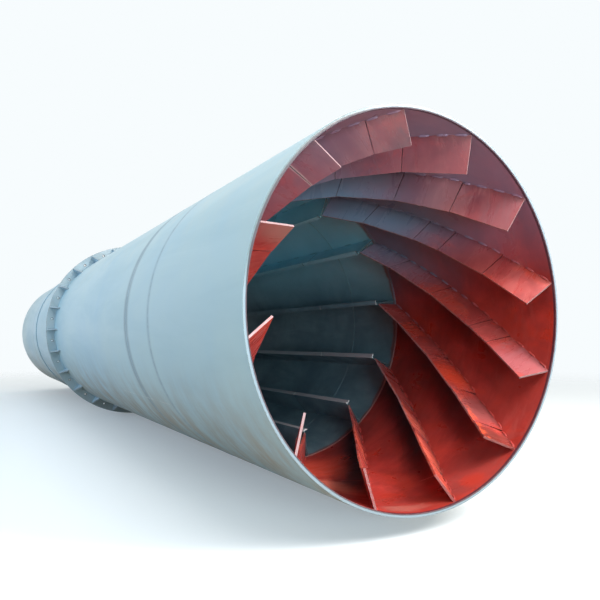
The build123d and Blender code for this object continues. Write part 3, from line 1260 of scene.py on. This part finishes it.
flangeLow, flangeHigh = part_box("gear_flange")
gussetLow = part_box("gear_flange_gussets")[0]
inletFace = flangeLow.y - drum["inletY"]
outletFace = flangeHigh.y - drum["inletY"]
flangeBeads = bmesh.new()
for station, sign in ((inletFace, -1), (outletFace, 1)):
    along = Vector((0.0, sign * flangeWelds["leg"], 0.0))
    sections = []
    for angle in ringAngles:
        away = outward(angle)
        corner = at(drum["shellRadius"] - flangeWelds["bedding"], angle, station)
        sections.append(fillet(corner, along, away * flangeWelds["leg"], away * -flangeWelds["sink"]))
    layBead(flangeBeads, station, sections, closed=True)

gussetLeg = flangeWelds["gussetLeg"]
gussetRun = flangeLow.y - gussetLow.y - flangeWelds["gussetShort"]
back = Vector((0.0, -gussetLeg, 0.0))
for i in range(flangeWelds["gussetCount"]):
    angle = 360.0 * i / flangeWelds["gussetCount"]
    away = outward(angle)
    sideways = Vector((-away.z, 0.0, away.x))
    for sign in (1, -1):
        edge = sideways * sign * flangeWelds["gussetHalf"]
        toe = sideways * sign * gussetLeg
        foot = []
        for k in range(flangeWelds["footSteps"] + 1):
            along = inletFace - flangeWelds["gussetInset"] - gussetRun * k / flangeWelds["footSteps"]
            corner = at(drum["shellRadius"] - flangeWelds["footBedding"], angle, along) + edge
            foot.append(fillet(corner, toe, away * gussetLeg, away * -flangeWelds["sink"]))
        layBead(flangeBeads, i + sign * flangeWelds["footSeed"], foot)
        rise = []
        for k in range(flangeWelds["riseSteps"] + 1):
            up = flangeWelds["gussetInset"] + flangeWelds["gussetRise"] * k / flangeWelds["riseSteps"]
            corner = at(drum["shellRadius"] + up, angle, inletFace + flangeWelds["riseOff"]) + edge
            rise.append(fillet(corner, toe, back, Vector((0.0, flangeWelds["sink"], 0.0))))
        layBead(flangeBeads, i + sign * flangeWelds["riseSeed"], rise)
closeBeads(flangeBeads, "flangeWelds", paleWeld)
print("ring and flange welds laid")


# Stitch welds at the foot of each flight, on both sides of every plate
footSettings = {
    "mergeGap": 0.00005,
    "boreGap": 0.004,
    "outwardLeast": 0.85,
    "leastPoints": 4,
}


def looksOutAtBore(face):
    # whether a face of a flight lies against the shell
    middle = face.calc_center_median()
    axis = at(0.0, 0.0, middle.y - drum["inletY"])
    atBore = (middle - axis).length > drum["boreRadius"] - footSettings["boreGap"]
    return atBore and face.normal.dot(radialOf(middle)) > footSettings["outwardLeast"]


def separatePlates(bm):
    # the faces of a flight, plate by plate in the mesh's own order
    waiting = dict.fromkeys(bm.faces)
    plates = []
    while waiting:
        plate = [next(iter(waiting))]
        del waiting[plate[0]]
        for face in plate:
            for edge in face.edges:
                for other in edge.link_faces:
                    if other in waiting:
                        del waiting[other]
                        plate.append(other)
        plates.append(plate)
    return plates


def footLines(name):
    # for each plate of a flight, the two lines where its sides meet the shell, and which way each looks
    bm = bmesh.new()
    bm.from_mesh(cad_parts[name].data)
    bmesh.ops.remove_doubles(bm, verts=bm.verts, dist=footSettings["mergeGap"])
    lines = []
    for plate in separatePlates(bm):
        normal = max(plate, key=lambda f: f.calc_area()).normal.copy()
        feet = [f for f in plate if looksOutAtBore(f)]
        points = list(dict.fromkeys(v for f in feet for v in f.verts))
        if len(points) < footSettings["leastPoints"]:
            continue
        middle = sum(v.co.dot(normal) for v in points) / len(points)
        for sign in (1, -1):
            line = [v.co.copy() for v in points if (v.co.dot(normal) - middle) * sign > 0]
            if len(line) > 1:
                lines.append((sorted(line, key=lambda p: p.y), normal * sign))
    bm.free()
    return lines


def pointOn(line, distance):
    for first, second in zip(line, line[1:]):
        span = (second - first).length
        if distance <= span and span > 0:
            return first.lerp(second, distance / span)
        distance -= span
    return line[-1].copy()


stitchSettings = {
    "firstGap": 0.012,
    "firstSpread": 0.03,
    "endGap": 0.006,
    "leastStitch": 0.01,
    "leastShare": 0.4,
    "length": (0.85, 0.3),  # least share of a stitch, and how much more at most
    "spacing": (0.7, 0.6),  # the same for the gap after it
    "steps": 6,
    "fullness": 0.2,
    "bedding": 0.0006,
    "sink": 0.0012,
}
flightWelds = {
    "spiral_flight": {
        "piece": "spiralFootWelds", "slot": "red_oxide", "finish": redWeld,
        "leg": 0.009, "stitch": 0.075, "gap": 0.055,
    },
    "lifting_flight": {
        "piece": "liftingFootWelds", "slot": "dark_steel", "finish": darkWeld,
        "leg": 0.008, "stitch": 0.11, "gap": 0.24,
    },
}


def byHand(spread, x, y, z):
    # a share that wanders as hand work does
    least, more = spread
    return least + more * abs(noise.noise(Vector((x, y, z))))


def stitchFoot(bm, line, sideways, kind, seed):
    # stitches along one line, uneven in length and spacing as hand work is
    full = sum((b - a).length for a, b in zip(line, line[1:]))
    offset = noise.noise(Vector((seed, 0.3, 0.7))) * 0.5 + 0.5
    start = stitchSettings["firstGap"] + stitchSettings["firstSpread"] * offset
    while start + kind["stitch"] * stitchSettings["leastShare"] < full:
        length = kind["stitch"] * byHand(stitchSettings["length"], seed, start * 9, 0.1)
        stop = min(start + length, full - stitchSettings["endGap"])
        sections = []
        for k in range(stitchSettings["steps"] + 1):
            corner = pointOn(line, start + (stop - start) * k / stitchSettings["steps"])
            up = -radialOf(corner)
            away = (sideways - up * sideways.dot(up)).normalized()
            seat = corner - up * stitchSettings["bedding"]
            sink = up * -stitchSettings["sink"]
            toes = (away * kind["leg"], up * kind["leg"])
            sections.append(fillet(seat, *toes, sink, stitchSettings["fullness"]))
        if stop - start > stitchSettings["leastStitch"]:
            layBead(bm, seed + start, sections)
        start = stop + kind["gap"] * byHand(stitchSettings["spacing"], start * 7, seed, 0.9)


for beginning, kind in flightWelds.items():
    stitches = bmesh.new()
    for order, name in enumerate(sorted(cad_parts)):
        if name.startswith(beginning):
            for i, (line, sideways) in enumerate(footLines(name)):
                stitchFoot(stitches, line, sideways, kind, order * 3.1 + i)
    closeBeads(stitches, kind["piece"], kind["finish"])
print("flight welds laid")

# Room: an even pale backdrop for the eye, and for the light a dome that is dark before the mouth
roomSettings = {
    "backdrop": tone(247, 252, 254),
    "zenithTone": (0.76, 0.76, 0.72, 1.0),
    "horizonTone": (0.92, 1.0, 1.08, 1.0),
    "mouthTone": (0.08, 0.1, 0.12, 1.0),
    "level": 0.9,
    "zenith": (0.0, 0.6),
    "mouth": (-0.15, -0.65),
}
room = bpy.data.worlds.new("paleRoom")
scene.world = room
room.use_nodes = True
tree = room.node_tree
background = tree.nodes["Background"]
rays = tree.nodes.new("ShaderNodeLightPath").outputs
seen = calc(tree, "MAXIMUM", rays["Is Camera Ray"], rays["Is Transmission Ray"])
seen = calc(tree, "MAXIMUM", seen, rays["Is Glossy Ray"])
sky = split(tree, tree.nodes.new("ShaderNodeTexCoord").outputs["Generated"])
rise = ramp(tree, sky[2], *roomSettings["zenith"])
dome = blendTone(tree, rise, roomSettings["horizonTone"], roomSettings["zenithTone"])
dome = lay(tree, dome, roomSettings["mouthTone"], ramp(tree, sky[1], *roomSettings["mouth"]))
feed(tree, background.inputs["Color"], lay(tree, dome, roomSettings["backdrop"], seen))
feed(tree, background.inputs["Strength"], ramp(tree, seen, 0.0, 1.0, roomSettings["level"], 1.0))

# Floor: pale to the eye and duller to the light that it bounces, fading out far from the drum
floorSettings = {
    "half": 30.0,
    "drop": 0.001,
    "fadeFrom": 3.0,
    "fadeTo": 15.0,
    "tone": tone(236, 240, 242),
    "bounceTone": tone(142, 120, 92),
    "glow": 0.2,
    "roughness": 0.85,
    "specular": 0.2,
}
half = floorSettings["half"]
corners = [(x * half, y * half, -floorSettings["drop"]) for x, y in ((-1, -1), (1, -1), (1, 1), (-1, 1))]
floorData = bpy.data.meshes.new("paleFloor")
floorData.from_pydata(corners, [], [(0, 1, 2, 3)])
floor = bpy.data.objects.new("paleFloor", floorData)
scene.collection.objects.link(floor)
floorFinish, tree, shader = newFinish("paleFloor")
rays = tree.nodes.new("ShaderNodeLightPath").outputs
directly = calc(tree, "MAXIMUM", rays["Is Camera Ray"], rays["Is Glossy Ray"])
floorTone = blendTone(tree, directly, floorSettings["bounceTone"], floorSettings["tone"])
feed(tree, shader.inputs["Base Color"], floorTone)
shader.inputs["Emission Color"].default_value = roomSettings["backdrop"]
feed(tree, shader.inputs["Emission Strength"], product(tree, rays["Is Camera Ray"], floorSettings["glow"]))
shader.inputs["Roughness"].default_value = floorSettings["roughness"]
shader.inputs["Specular IOR Level"].default_value = floorSettings["specular"]
farOut = vectorCalc(tree, "LENGTH", objectPlace(tree))["Value"]
fade = ramp(tree, farOut, floorSettings["fadeTo"], floorSettings["fadeFrom"])
feed(tree, shader.inputs["Alpha"], calc(tree, "MAXIMUM", fade, minus(tree, 1.0, directly)))
floorData.materials.append(floorFinish)
print("floor and room set")
